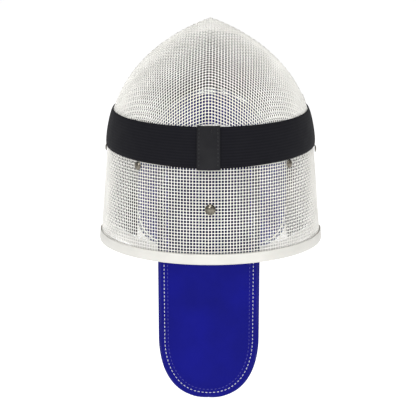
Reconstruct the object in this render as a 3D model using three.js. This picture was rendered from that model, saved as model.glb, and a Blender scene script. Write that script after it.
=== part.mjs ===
// Fencing mask: a pressed wire-mesh crown over a wire-mesh face and rear wall, a rim binding, a padded
// face lining, and a padded tongue that hangs down inside the nape. An elastic strap runs round the back,
// under a leather keeper.
// Millimetres, +Z up, the wearer faces -Y. The origin is where the top of the head seats, under the roof.
import * as THREE from "three";

// ---- the mask's surface: meridians fan out from the apex to a shoulder, and a wall drops from there ----
const APEX_Z = 24; // apex above the head seat
const REAR = { reach: 113.1, shoulder: 105, slope: 0.225, lead: 0.9, drop: 44 };
const SIDE = { reach: 105.3, shoulder: 129, slope: 0.358, lead: 0.546, drop: 65 };
const FRONT = { reach: 127.1, shoulder: 100, slope: 0.3, lead: 0.62, drop: 50 };
const WALL_FLARE = 0.043; // the wall widens this much per millimetre down
const SIDE_FLARE = 0.035; // and this much more at the sides, below the shoulder
const KEEL = 0.11; // how sharply the face is folded at its centre line
const CHIN_RECEDE = 0.17; // how far the face draws back to the chin, over RECEDE_SPAN
const RECEDE_SPAN = 120;
const RIM_DEPTH = 226; // apex to rim, at the back and sides
const CHIN_DROP = 54; // the rim is this much lower at the chin
const CHIN_POWER = 3; // how late the rim starts to drop towards the chin
const DEG = Math.PI / 180;
const HALVINGS = 40; // steps of each search by halving

// ---- walls, bands and small parts ----
const GAP = 0.4; // clearance between touching pieces
const MESH = { half: 1.0, turns: 72, wallRows: 7, leastFacet: 0.8 };
const JOIN_DEPTH = 112; // where the crown meets the wall below it, under the strap at the back
const CROWN_PANELS = [
  { name: "crown_mesh", top: 0, low: 48, rows: 6 },
  { name: "crown_band_mesh", top: 48, low: 80, rows: 3 },
  { name: "brow_band_mesh", top: 80, low: JOIN_DEPTH, rows: 3 },
];
const JOIN_ANGLE = 110; // where the face meets the rear wall, ahead of the ear
const JOIN_SLACK = 0.2; // degrees that each of them stops short of it
const RIM_BAND = { tall: 10.5, inner: 3.0, outer: 2.4, under: 2.2 };
const JOINT_STRIP = { from: 107.5, to: 113, thick: 1.6, top: 85, gap: 1.2, rows: 7, columns: 2 };
const STRAP = { top: 91.7, bottom: 132.7, sideRise: 3.9, risePower: 1.4, thick: 1.3, end: 107, rows: 4 };
const KEEPER = { half: 11.4, thick: 2.0, leg: 0.8, swell: 0.6, standOff: 5, columns: 4 };
const TONGUE = {
  top: 116, tip: 369, half: 51, taper: 1, endTall: 65, endPower: 2.3,
  corner: 8, pad: 9, edge: 3.2, lean: 6, gap: 1.4, curl: 13, flatten: 0.7,
  fullAfter: 10, fullShare: 0.22, tipHalf: 0.3, rows: 14, endRows: 10,
};
const TONGUE_COLUMNS = [-1, -0.93, -0.78, -0.5, -0.2, 0.2, 0.5, 0.78, 0.93, 1];
const LINING = { thick: 11, edge: 4, gap: 2.0, turns: 48 };
const LINING_SECTION = [ // across the ring, from its window to its outline
  { part: 0, swell: 0 }, { part: 0.12, swell: 0.75 }, { part: 0.35, swell: 1 },
  { part: 0.65, swell: 1 }, { part: 0.88, swell: 0.75 }, { part: 1, swell: 0 },
];
const LINING_OUTLINE = { x: 80, middle: 185, up: 89, down: 77, upPower: 2.05, downPower: 3.6 };
const LINING_WINDOW = { x: 54, middle: 172, up: 43, down: 46, upPower: 2.4, downPower: 2.4 };
const PIPING = { radius: 1.4, out: 2.0, sides: 8, turns: 60 };
const CROWN_PAD = {
  from: 94, to: 266, top: 16, sideRise: 13, margin: 7, thick: 3.5, gap: 2.0, columns: 86, rows: 7,
};
const RIVETS = [
  { name: "tongue_rivet", angle: -0.9, depth: 172.8, radius: 5.3, tall: 2.8 },
  { name: "rear_rivet_left", angle: 38.4, depth: 135.6, radius: 4.2, tall: 2.4 },
  { name: "rear_rivet_right", angle: -45.1, depth: 134.9, radius: 4.2, tall: 2.4 },
  { name: "side_rivet_left", angle: 92, depth: 134.5, radius: 4.2, tall: 1.6 },
  { name: "side_rivet_right", angle: -92, depth: 135.5, radius: 4.2, tall: 1.6 },
];
const RIVET_HEAD = { lift: 0.4, sides: 20 };
const RIVET_DOME = [ // shares of the radius and of the height
  { out: 0, up: 0 }, { out: 1, up: 0 }, { out: 1, up: 0.2 }, { out: 0.86, up: 0.62 },
  { out: 0.6, up: 0.87 }, { out: 0.3, up: 0.97 }, { out: 0, up: 1 },
];

const root = new THREE.Group();
root.name = "fencing_mask";

const LOOKS = {
  mesh: { color: 0xd9d9d0, roughness: 0.45, metalness: 0.55 },
  binding: { color: 0xe6e4dc, roughness: 0.55, metalness: 0 },
  blue: { color: 0x141491, roughness: 0.5, metalness: 0 },
  navy: { color: 0x101528, roughness: 0.8, metalness: 0 },
  piping: { color: 0xdfe0e0, roughness: 0.6, metalness: 0 },
  elastic: { color: 0x212128, roughness: 0.85, metalness: 0 },
  leather: { color: 0x1c1c20, roughness: 0.4, metalness: 0 },
  nickel: { color: 0xb9b5a8, roughness: 0.18, metalness: 1 },
};

// ---- points on the surface ----

// Angle 0 is the back, 90 the wearer's left side and 180 the face. Run 0 is the apex and 1 the shoulder.
function blend(key, angle) {
  const side = Math.sin(angle) ** 2;
  const end = Math.cos(angle) >= 0 ? REAR : FRONT;
  return SIDE[key] * side + end[key] * (1 - side);
}

function shoulderReach(angle) {
  const s = Math.abs(Math.sin(angle));
  const c = Math.cos(angle);
  const end = c >= 0 ? REAR : FRONT;
  const reach = 1 / Math.hypot(s / SIDE.reach, c / end.reach);
  return c >= 0 ? reach : reach * (1 - KEEL * s * c * c);
}

function bezier(p0, p1, p2, p3, t) {
  const u = 1 - t;
  return u * u * u * p0 + 3 * u * u * t * p1 + 3 * u * t * t * p2 + t * t * t * p3;
}

function surface(angle, run) {
  const s = Math.abs(Math.sin(angle));
  const c = Math.cos(angle);
  const end = c >= 0 ? REAR : FRONT;
  const reach = shoulderReach(angle);
  const shoulder = blend("shoulder", angle);
  const slope = SIDE.slope * s + end.slope * Math.abs(c);
  const lead = reach * blend("lead", angle);
  const drop = blend("drop", angle);
  const t = Math.min(run, 1);
  const below = Math.max(run - 1, 0) * RECEDE_SPAN;
  const flare = WALL_FLARE + SIDE_FLARE * s * s;
  let r = bezier(0, lead, reach - WALL_FLARE * drop, reach, t) + flare * below;
  if (c < 0) r -= CHIN_RECEDE * c * c * (below / RECEDE_SPAN) ** 2 * reach;
  const depth = bezier(0, slope * lead, shoulder - drop, shoulder, t) + below;
  return new THREE.Vector3(r * Math.sin(angle), r * c, APEX_Z - depth);
}

function offsetPoint(angle, run, offset) {
  const p = surface(angle, run);
  if (run < 1e-6) return p.add(new THREE.Vector3(0, 0, offset));
  const step = 1e-4;
  const along = surface(angle, run + step).sub(surface(angle, Math.max(run - step, 1e-7)));
  const round = surface(angle + step, run).sub(surface(angle - step, run));
  return p.addScaledVector(along.cross(round).normalize(), -offset);
}

// The run at which a meridian has dropped to a depth below the apex.
function runAtDepth(angle, depth) {
  const shoulder = blend("shoulder", angle);
  if (depth >= shoulder) return 1 + (depth - shoulder) / RECEDE_SPAN;
  let low = 0;
  let high = 1;
  for (let i = 0; i < HALVINGS; i++) {
    const middle = (low + high) / 2;
    if (APEX_Z - surface(angle, middle).z < depth) low = middle;
    else high = middle;
  }
  return (low + high) / 2;
}

function onWall(angle, depth, offset) {
  return offsetPoint(angle, runAtDepth(angle, depth), offset);
}

// The point of the face's inside at a sideways place and a depth.
function insideFace(x, depth, offset) {
  let low = 90 * DEG;
  let high = 180 * DEG;
  for (let i = 0; i < HALVINGS; i++) {
    const middle = (low + high) / 2;
    if (onWall(middle, depth, -offset).x > Math.abs(x)) low = middle;
    else high = middle;
  }
  const p = onWall((low + high) / 2, depth, -offset);
  p.x *= Math.sign(x);
  return p;
}

function rimDepth(angle) {
  const ahead = Math.cos(angle) < 0;
  return RIM_DEPTH + (ahead ? CHIN_DROP * (1 - Math.abs(Math.sin(angle)) ** CHIN_POWER) : 0);
}

// ---- solids ----

class SolidBuilder {
  constructor() {
    this.points = [];
    this.faces = [];
    this.keys = new Map();
  }

  point(p) {
    const key = [p.x, p.y, p.z].map((v) => Math.round(v * 1000)).join(",");
    if (!this.keys.has(key)) {
      this.keys.set(key, this.points.length);
      this.points.push(p);
    }
    return this.keys.get(key);
  }

  triangle(a, b, c) {
    const face = [this.point(a), this.point(b), this.point(c)];
    if (new Set(face).size === 3) this.faces.push(...face);
  }

  quad(a, b, c, d) {
    this.triangle(a, b, c);
    this.triangle(a, c, d);
  }

  volume() {
    let total = 0;
    for (let i = 0; i < this.faces.length; i += 3) {
      const [a, b, c] = this.faces.slice(i, i + 3).map((k) => this.points[k]);
      total += a.dot(b.clone().cross(c)) / 6;
    }
    return total;
  }

  add(name, look) {
    if (this.volume() < 0) this.faces.reverse();
    const geometry = new THREE.BufferGeometry();
    const places = this.points.flatMap((p) => [p.x, p.y, p.z]);
    geometry.setAttribute("position", new THREE.Float32BufferAttribute(places, 3));
    geometry.setIndex(this.faces);
    geometry.computeVertexNormals();
    const mesh = new THREE.Mesh(geometry, new THREE.MeshStandardMaterial(LOOKS[look]));
    mesh.name = name;
    root.add(mesh);
  }
}

// A sheet with two faces. Each is a list of rows that all run the same way round.
function addSheet(name, look, outer, inner, closedRound = false, closedAlong = false) {
  const solid = new SolidBuilder();
  const rows = outer.length;
  const across = outer[0].length;
  const lastColumn = closedRound ? across : across - 1;
  const lastRow = closedAlong ? rows : rows - 1;
  for (let i = 0; i < lastRow; i++) {
    const k = (i + 1) % rows;
    for (let j = 0; j < lastColumn; j++) {
      const m = (j + 1) % across;
      solid.quad(outer[i][j], outer[k][j], outer[k][m], outer[i][m]);
      solid.quad(inner[i][j], inner[i][m], inner[k][m], inner[k][j]);
    }
  }
  if (!closedAlong) {
    for (let j = 0; j < lastColumn; j++) {
      const m = (j + 1) % across;
      const e = rows - 1;
      solid.quad(outer[0][j], outer[0][m], inner[0][m], inner[0][j]);
      solid.quad(outer[e][j], inner[e][j], inner[e][m], outer[e][m]);
    }
  }
  if (!closedRound) {
    for (let i = 0; i < lastRow; i++) {
      const k = (i + 1) % rows;
      const e = across - 1;
      solid.quad(outer[i][0], inner[i][0], inner[k][0], outer[k][0]);
      solid.quad(outer[i][e], outer[k][e], inner[k][e], inner[i][e]);
    }
  }
  solid.add(name, look);
}

function grid(rows, columns, place) {
  return rows.map((row) => columns.map((column) => place(row, column)));
}

function steps(from, to, count) {
  return Array.from({ length: count + 1 }, (_, i) => from + ((to - from) * i) / count);
}

// Whole-grid angles between two limits, so that neighbouring bands share their facets.
function facetAngles(from, to) {
  const step = 360 / MESH.turns;
  const inside = [];
  for (let a = Math.ceil(from / step) * step; a <= to; a += step) inside.push(a);
  const kept = inside.filter((a) => a - from > MESH.leastFacet && to - a > MESH.leastFacet);
  return [from, ...kept, to];
}

// A profile of corner points swept round the given angles, capped unless it goes all the way round.
function addSwept(name, look, angles, profile, closedRound) {
  const solid = new SolidBuilder();
  const sections = angles.map((a) => profile(a * DEG));
  const last = closedRound ? sections.length : sections.length - 1;
  const corners = sections[0].length;
  for (let j = 0; j < last; j++) {
    const here = sections[j];
    const next = sections[(j + 1) % sections.length];
    for (let i = 0; i < corners; i++) {
      const k = (i + 1) % corners;
      solid.quad(here[i], here[k], next[k], next[i]);
    }
  }
  if (!closedRound) {
    const end = sections[sections.length - 1];
    for (const [section, flip] of [[sections[0], true], [end, false]]) {
      for (const [a, b, c] of capTriangles(section.length)) {
        if (flip) solid.triangle(section[a], section[c], section[b]);
        else solid.triangle(section[a], section[b], section[c]);
      }
    }
  }
  solid.add(name, look);
}

// Ear-free cap for the C and box profiles used here: they are cut in strips between matching corners.
function capTriangles(corners) {
  const half = corners / 2;
  const triangles = [];
  for (let i = 0; i < half - 1; i++) {
    triangles.push([i, i + 1, corners - 1 - i]);
    triangles.push([i + 1, corners - 2 - i, corners - 1 - i]);
  }
  return triangles;
}

// ---- wire-mesh panels, drawn as thin walls ----

// One ring of the crown, or its cap where the top is the apex.
function addCrownPanel({ name, top, low, rows }) {
  const angles = steps(-180, 180, MESH.turns).slice(0, -1);
  const parts = steps(0, 1, rows);
  const place = (offset) => (part, a) => {
    const high = top > 0 ? runAtDepth(a * DEG, top + GAP / 2) : 0;
    return offsetPoint(a * DEG, high + (runAtDepth(a * DEG, low - GAP / 2) - high) * part, offset);
  };
  const outer = grid(parts, angles, place(MESH.half));
  addSheet(name, "mesh", outer, grid(parts, angles, place(-MESH.half)), true);
}

// The wall below the crown: the rear wall between the ears, and the face ahead of them.
function addWall(name, from, to) {
  const angles = facetAngles(from, to);
  const rows = steps(0, 1, MESH.wallRows);
  const high = JOIN_DEPTH + GAP / 2;
  const place = (offset) => (part, a) => {
    return onWall(a * DEG, high + (rimDepth(a * DEG) - high) * part, offset);
  };
  addSheet(name, "mesh", grid(rows, angles, place(MESH.half)), grid(rows, angles, place(-MESH.half)));
}

// ---- rim binding, joint strips, strap and keeper ----

function addRimBinding() {
  const slot = MESH.half + GAP;
  const profile = (angle) => {
    const rim = rimDepth(angle);
    const top = rim - RIM_BAND.tall + RIM_BAND.under;
    const low = rim + RIM_BAND.under;
    const corners = [
      [RIM_BAND.outer, top], [RIM_BAND.outer, low], [-RIM_BAND.inner, low], [-RIM_BAND.inner, top],
      [-slot, top], [-slot, rim + GAP], [slot, rim + GAP], [slot, top],
    ];
    return corners.map(([offset, depth]) => onWall(angle, depth, offset));
  };
  addSwept("rim_binding", "binding", steps(-180, 180, MESH.turns).slice(0, -1), profile, true);
}

function addJointStrips() {
  for (const [side, label] of [[1, "left"], [-1, "right"]]) {
    const angles = steps(JOINT_STRIP.from, JOINT_STRIP.to, JOINT_STRIP.columns).map((a) => a * side);
    angles.sort((a, b) => a - b);
    const low = (angle) => rimDepth(angle) - RIM_BAND.tall + RIM_BAND.under - GAP;
    const rows = steps(0, 1, JOINT_STRIP.rows);
    const place = (offset) => (row, a) => {
      const angle = a * DEG;
      return onWall(angle, JOINT_STRIP.top + (low(angle) - JOINT_STRIP.top) * row, offset);
    };
    const under = MESH.half + JOINT_STRIP.gap;
    const outer = grid(rows, angles, place(under + JOINT_STRIP.thick));
    addSheet(`joint_strip_${label}`, "binding", outer, grid(rows, angles, place(under)));
  }
}

// The strap's lower edge, which rises towards the ears.
function strapBottom(angle) {
  return STRAP.bottom - STRAP.sideRise * Math.abs(Math.sin(angle)) ** STRAP.risePower;
}

function addStrap() {
  const angles = facetAngles(-STRAP.end, STRAP.end);
  const rows = steps(0, 1, STRAP.rows);
  const place = (offset) => (row, a) => {
    return onWall(a * DEG, STRAP.top + (strapBottom(a * DEG) - STRAP.top) * row, offset);
  };
  const under = MESH.half + GAP;
  const outer = grid(rows, angles, place(under + STRAP.thick));
  addSheet("back_strap", "elastic", outer, grid(rows, angles, place(under)));
}

// The inside's middle corner faces three corners of the tab's face, so the profile names it three times.
function addKeeper() {
  const reach = KEEPER.half / (REAR.reach + KEEPER.standOff) / DEG;
  const foot = MESH.half + GAP;
  const inside = foot + STRAP.thick + GAP;
  const face = inside + KEEPER.thick;
  const tall = (STRAP.bottom - STRAP.top) / 2 + GAP;
  const middle = (STRAP.bottom + STRAP.top) / 2;
  const profile = (angle) => {
    const corners = [
      [foot, -tall - KEEPER.leg], [face - KEEPER.swell, -tall - KEEPER.leg],
      [face, -tall], [face + KEEPER.swell, 0], [face, tall],
      [face - KEEPER.swell, tall + KEEPER.leg], [foot, tall + KEEPER.leg],
      [foot, tall], [inside, tall], [inside, 0], [inside, 0], [inside, 0],
      [inside, -tall], [foot, -tall],
    ];
    return corners.map(([offset, depth]) => onWall(angle, middle + depth, offset));
  };
  addSwept("strap_keeper", "leather", steps(-reach, reach, KEEPER.columns), profile, false);
}

// ---- tongue ----

function tongueHalfWidth(depth) {
  const start = TONGUE.tip - TONGUE.endTall;
  const straight = TONGUE.half - (TONGUE.taper * (depth - TONGUE.top)) / (start - TONGUE.top);
  const corner = Math.max(TONGUE.top + TONGUE.corner - depth, 0);
  if (depth <= start) return straight - corner ** 2 / TONGUE.corner;
  const part = Math.min((depth - start) / TONGUE.endTall, 1);
  return (TONGUE.half - TONGUE.taper) * (1 - part ** TONGUE.endPower) ** (1 / TONGUE.endPower);
}

// The tongue's back face follows the rear wall's inside, then hangs straight and flattens to its tip.
function tongueBack(x, depth) {
  const clear = RIM_BAND.inner + TONGUE.gap;
  const wallDepth = Math.min(depth, RIM_DEPTH);
  const middle = onWall(0, wallDepth, -clear).y;
  const hang = Math.max(depth - RIM_DEPTH, 0) / (TONGUE.tip - RIM_DEPTH);
  const bend = (1 - TONGUE.flatten * hang) / (2 * (REAR.reach - TONGUE.curl));
  return middle - TONGUE.lean * hang * hang - x * x * bend;
}

function addTongue() {
  const start = TONGUE.tip - TONGUE.endTall;
  const rows = steps(TONGUE.top, start, TONGUE.rows);
  for (const part of steps(0, 90, TONGUE.endRows).slice(1)) {
    rows.push(start + TONGUE.endTall * Math.sin(part * DEG));
  }
  const thick = (column, depth) => {
    const fromEnd = Math.min(TONGUE.tip - depth, depth - TONGUE.top) / TONGUE.fullAfter;
    const fromSide = (1 - Math.abs(column)) / TONGUE.fullShare;
    const full = Math.sqrt(Math.max(0, Math.min(fromEnd, fromSide, 1)));
    return TONGUE.edge + (TONGUE.pad - TONGUE.edge) * full;
  };
  const place = (front) => (depth, column) => {
    const x = column * Math.max(tongueHalfWidth(depth), TONGUE.tipHalf);
    return new THREE.Vector3(x, tongueBack(x, depth) - (front ? thick(column, depth) : 0), APEX_Z - depth);
  };
  const back = grid(rows, TONGUE_COLUMNS, place(false));
  addSheet("tongue", "blue", back, grid(rows, TONGUE_COLUMNS, place(true)));
}

// ---- face lining ----

function outlinePoint(shape, turn, grow) {
  const c = Math.cos(turn);
  const s = Math.sin(turn);
  const power = s >= 0 ? shape.upPower : shape.downPower;
  const tall = (s >= 0 ? shape.up : shape.down) + grow;
  const x = (shape.x + grow) * Math.sign(c) * Math.abs(c) ** (2 / power);
  return { x, depth: shape.middle - tall * Math.sign(s) * Math.abs(s) ** (2 / power) };
}

function liningPoint(turn, part, inward) {
  const out = outlinePoint(LINING_OUTLINE, turn, 0);
  const hole = outlinePoint(LINING_WINDOW, turn, 0);
  const x = hole.x + (out.x - hole.x) * part;
  return insideFace(x || 1e-6, hole.depth + (out.depth - hole.depth) * part, inward);
}

function addLining() {
  const turns = steps(0, 360, LINING.turns).slice(0, -1).map((a) => a * DEG);
  const near = MESH.half + LINING.gap;
  const outer = grid(turns, LINING_SECTION, (turn, { part }) => liningPoint(turn, part, near));
  const inner = grid(turns, LINING_SECTION, (turn, { part, swell }) => {
    const thick = LINING.edge + (LINING.thick - LINING.edge) * swell;
    return liningPoint(turn, part, near + thick);
  });
  addSheet("face_lining", "blue", outer, inner, false, true);
}

function addPiping() {
  const solid = new SolidBuilder();
  const turns = steps(0, 360, PIPING.turns).slice(0, -1).map((a) => a * DEG);
  const near = MESH.half + LINING.gap + PIPING.radius;
  const path = turns.map((turn) => {
    const p = outlinePoint(LINING_OUTLINE, turn, PIPING.out);
    return insideFace(p.x || 1e-6, p.depth, near);
  });
  const ring = (i) => {
    const n = path.length;
    const along = path[(i + 1) % n].clone().sub(path[(i + n - 1) % n]).normalize();
    const away = new THREE.Vector3(path[i].x, path[i].y, 0).normalize();
    const across = along.clone().cross(away).normalize();
    const up = across.clone().cross(along).normalize();
    return steps(0, 360, PIPING.sides).slice(0, -1).map((a) => path[i].clone()
      .addScaledVector(across, PIPING.radius * Math.cos(a * DEG))
      .addScaledVector(up, PIPING.radius * Math.sin(a * DEG)));
  };
  const rings = path.map((_, i) => ring(i));
  for (let i = 0; i < rings.length; i++) {
    const here = rings[i];
    const next = rings[(i + 1) % rings.length];
    for (let j = 0; j < PIPING.sides; j++) {
      const k = (j + 1) % PIPING.sides;
      solid.quad(here[j], here[k], next[k], next[j]);
    }
  }
  solid.add("lining_piping", "piping");
}

// The pad's lower edge: over the lining's arch, and down beside the lining to the jaw.
function padLow(angle) {
  const x = Math.sin(angle) * shoulderReach(angle);
  const half = LINING_OUTLINE.x + CROWN_PAD.margin;
  if (Math.abs(x) >= half) return rimDepth(angle) - CROWN_PAD.sideRise;
  return LINING_OUTLINE.middle - (LINING_OUTLINE.up + CROWN_PAD.margin) * Math.sqrt(1 - (x / half) ** 2);
}

function addCrownPad() {
  const angles = steps(CROWN_PAD.from, CROWN_PAD.to, CROWN_PAD.columns);
  const rows = steps(0, 1, CROWN_PAD.rows);
  const near = MESH.half + CROWN_PAD.gap;
  const place = (inward) => (row, a) => {
    const angle = a * DEG;
    return onWall(angle, CROWN_PAD.top + (padLow(angle) - CROWN_PAD.top) * row, -inward);
  };
  const far = near + CROWN_PAD.thick;
  addSheet("crown_pad", "navy", grid(rows, angles, place(near)), grid(rows, angles, place(far)));
}

// ---- rivets ----

function addRivet({ name, angle, depth, radius, tall }) {
  const foot = MESH.half + GAP + RIVET_HEAD.lift;
  const profile = RIVET_DOME.map(({ out, up }) => new THREE.Vector2(out * radius, up * tall));
  const geometry = new THREE.LatheGeometry(profile, RIVET_HEAD.sides);
  const seat = onWall(angle * DEG, depth, foot);
  const out = onWall(angle * DEG, depth, foot + 1).sub(seat).normalize();
  geometry.applyQuaternion(new THREE.Quaternion().setFromUnitVectors(new THREE.Vector3(0, 1, 0), out));
  geometry.translate(seat.x, seat.y, seat.z);
  const mesh = new THREE.Mesh(geometry, new THREE.MeshStandardMaterial(LOOKS.nickel));
  mesh.name = name;
  root.add(mesh);
}

CROWN_PANELS.forEach(addCrownPanel);
addWall("rear_wall_mesh", -JOIN_ANGLE + JOIN_SLACK, JOIN_ANGLE - JOIN_SLACK);
addWall("face_mesh", JOIN_ANGLE + JOIN_SLACK, 360 - JOIN_ANGLE - JOIN_SLACK);
addRimBinding();
addJointStrips();
addStrap();
addKeeper();
addTongue();
addLining();
addPiping();
addCrownPad();
RIVETS.forEach(addRivet);

export default root;
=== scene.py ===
"""Fencing mask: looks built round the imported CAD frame. Metres, +Z up, the wearer faces -Y."""
import math
import bmesh
import bpy
import numpy as np
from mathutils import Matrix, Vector
from mathutils.bvhtree import BVHTree


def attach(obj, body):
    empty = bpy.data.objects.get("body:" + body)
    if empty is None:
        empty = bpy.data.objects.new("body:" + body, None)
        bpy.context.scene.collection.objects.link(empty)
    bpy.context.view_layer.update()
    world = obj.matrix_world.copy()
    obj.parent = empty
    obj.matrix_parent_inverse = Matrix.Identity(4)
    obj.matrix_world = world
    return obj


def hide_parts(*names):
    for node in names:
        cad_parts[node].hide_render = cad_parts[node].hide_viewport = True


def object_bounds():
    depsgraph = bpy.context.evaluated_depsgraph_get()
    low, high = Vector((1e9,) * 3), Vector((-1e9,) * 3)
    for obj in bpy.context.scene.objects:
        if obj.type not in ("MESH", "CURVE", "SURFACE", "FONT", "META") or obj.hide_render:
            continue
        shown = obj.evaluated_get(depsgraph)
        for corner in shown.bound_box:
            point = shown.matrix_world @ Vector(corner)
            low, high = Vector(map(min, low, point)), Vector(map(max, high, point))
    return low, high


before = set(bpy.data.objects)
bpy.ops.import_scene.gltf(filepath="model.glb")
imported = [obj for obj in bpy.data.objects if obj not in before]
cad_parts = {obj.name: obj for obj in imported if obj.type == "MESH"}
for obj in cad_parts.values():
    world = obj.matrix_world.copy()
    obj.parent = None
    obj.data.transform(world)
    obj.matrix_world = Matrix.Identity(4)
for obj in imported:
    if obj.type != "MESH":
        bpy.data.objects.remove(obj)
cad_low, cad_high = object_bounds()
MM = 0.001

# ---- the mask's surface, as in the CAD source: meridians fan out from the apex to a shoulder ----
APEX_Z = 24 * MM
REAR = {"reach": 113.1 * MM, "shoulder": 105 * MM, "slope": 0.225, "lead": 0.9, "drop": 44 * MM}
SIDE = {"reach": 105.3 * MM, "shoulder": 129 * MM, "slope": 0.358, "lead": 0.546, "drop": 65 * MM}
FRONT = {"reach": 127.1 * MM, "shoulder": 100 * MM, "slope": 0.3, "lead": 0.62, "drop": 50 * MM}
WALL_FLARE = 0.043
SIDE_FLARE = 0.035  # the sides widen this much more, below the shoulder
KEEL = 0.11
CHIN_RECEDE = 0.17
RECEDE_SPAN = 120 * MM
RIM_DEPTH = 226 * MM
CHIN_DROP = 54 * MM
JOIN_DEPTH = 112 * MM
JOIN_ANGLE = math.radians(110)
LONGEST_RUN = 3.0
HALVINGS = {"run": 40, "angle": 34}  # rounds of narrowing down a point's run or angle

# ---- woven wire ----
WIRE_PITCH = 3.1 * MM
WIRE_RADIUS = 0.44 * MM
WEAVE_LIFT = 0.38 * MM  # how far a wire rises over and dips under the wires that it crosses
WIRE_SIDES = 5
LINE_STEPS = 9001  # points tried along a starting wire
CROWN_WIRES = 150
REAR_WIRES = {"down": 60, "round": 90, "reach": 2.0}  # the reach is in radians
RUN_REACH = {"rear": 1.3, "ear": 2.3, "face": 2.7}  # how far down the net's starting wires go
REAR_LAP = 8 * MM  # the rear net starts this far above the joint
RIM_CLEAR = 1.0 * MM  # the nets stop this far above the rim's edge
# The longest move is in chart units, and the miss is a share of the pitch.
NEWTON = {"rounds": 8, "step": 1e-4, "longest": 0.03, "miss": 0.05}
FOLDED_CELL = 0.2  # a cell with a diagonal under this share of the pitch is left out

# ---- bands and small parts ----
# Some edges of the crown pad and the lining pass their CAD solids by about 3 mm.
MESH_HALF = 1.0 * MM
GAP = 0.4 * MM
RIM_BAND = {"tall": 10.5 * MM, "inner": 2.9 * MM, "outer": 2.3 * MM, "under": 2.2 * MM, "corner": 1.3 * MM}
RIM_SECTIONS = 288
JOINT_STRIP = {"from": 107.5, "to": 113, "thick": 1.5 * MM, "top": 85 * MM, "gap": 1.2 * MM,
               "corner": 0.9 * MM, "steps": 60}
STRAP = {"top": 91.7 * MM, "bottom": 132.7 * MM, "side_rise": 3.9 * MM, "thick": 1.2 * MM, "end": 107,
         "rise_power": 1.4, "edge": 0.45, "edge_power": 8, "steps": 181, "columns": 25}
KEEPER = {"half": 11.4 * MM, "thick": 1.9 * MM, "leg": 0.8 * MM, "swell": 0.6 * MM, "corner": 1.2 * MM,
          "proud": 5 * MM, "pinch": 0.35, "pinch_from": 0.85}
KEEPER_STITCH = {"across": 0.8, "inset": 2 * MM, "sunk": 0.05 * MM, "radius": 0.3 * MM, "steps": 60}
KEEPER_STUD = {"angle": -0.025, "up": 17 * MM, "lift": 0.1 * MM, "radius": 1.3 * MM, "tall": 0.7 * MM}
TONGUE = {
    "top": 116 * MM, "tip": 369 * MM, "half": 51 * MM, "taper": 1 * MM, "end_tall": 65 * MM,
    "end_power": 2.3, "corner": 8 * MM, "pad": 9 * MM, "edge": 3.2 * MM, "lean": 6 * MM, "gap": 1.4 * MM,
    "curl": 13 * MM, "flatten": 0.7, "tip_half": 0.3 * MM, "full_after": 10 * MM, "groove": 0.7 * MM,
    "groove_half": 1.6 * MM, "edge_round": 1.2 * MM, "edge_reach": 3 * MM, "swell": 1.6 * MM,
}
TONGUE_GRID = {"rows": 90, "columns": 45, "crowding": 1.25, "frame": 500}
LINING = {"thick": 10 * MM, "edge": 4 * MM, "gap": 2.0 * MM, "full_share": 0.3, "swell": 0.8 * MM,
          "steps": 144}
LINING_OUTLINE = {
    "x": 80 * MM, "middle": 185 * MM, "up": 89 * MM, "down": 77 * MM, "up_power": 2.05, "down_power": 3.6,
}
LINING_WINDOW = {
    "x": 51 * MM, "middle": 172 * MM, "up": 40 * MM, "down": 46 * MM, "up_power": 2.4, "down_power": 2.4,
}
PIPING = {"radius": 1.35 * MM, "out": 2.0 * MM, "steps": 240}
CROWN_PAD = {
    "from": 94, "to": 266, "top": 16 * MM, "side_rise": 9.5 * MM, "margin": 4.1 * MM, "thick": 3.3 * MM,
    "gap": 2.0 * MM, "edge": 0.4, "edge_share": 0.06, "columns": 181, "rows": 41,
}
PAINTED_SHADE_LOW = APEX_Z - RIM_DEPTH + 1 * MM  # the painted shade on the tongue's part inside the mask fades out behind the rim binding
PAINTED_SHADE_HIGH = PAINTED_SHADE_LOW + 4 * MM
SWELL = {"pressure": 4, "stiffness": 40, "steps": 20, "smooth": 0.5, "rounds": 3}
STITCH = {"inset": 6.3 * MM, "second": 9.8 * MM, "length": 2.7 * MM, "pitch": 3.9 * MM, "radius": 0.4 * MM}
THREAD_SIZES = (0.35, 0.85, 1, 1, 0.85, 0.35)  # a stitch's shares of its radius from end to end
THREAD_SIDES = 6
THREAD_ARC = {"rise": 1.1, "sunk": 0.8}  # shares of the radius
CORD_SIDES = 14
RAY_START = 0.2  # metres behind the head's middle, clear of the tongue
DOME_SIDES = 40
DOME_HUB = 0.002  # the least share of the radius, so that the ends stay faces
RIVET_LIFT = 0.4 * MM
DOME = [  # (share of the radius, share of the height)
    (0.0, 0), (0.97, 0), (1, 0.05), (1, 0.16), (0.97, 0.22), (0.9, 0.25), (0.86, 0.36), (0.78, 0.56),
    (0.64, 0.76), (0.46, 0.9), (0.25, 0.98), (0.0, 1),
]
RIVETS = {  # (angle in degrees, depth, radius, height)
    "tongue_rivet": (-0.9, 172.8 * MM, 5.3 * MM, 2.8 * MM),
    "rear_rivet_left": (38.4, 135.6 * MM, 4.2 * MM, 2.4 * MM),
    "rear_rivet_right": (-45.1, 134.9 * MM, 4.2 * MM, 2.4 * MM),
    "side_rivet_left": (92, 134.5 * MM, 4.2 * MM, 1.6 * MM),
    "side_rivet_right": (-92, 135.5 * MM, 4.2 * MM, 1.6 * MM),
}

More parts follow.
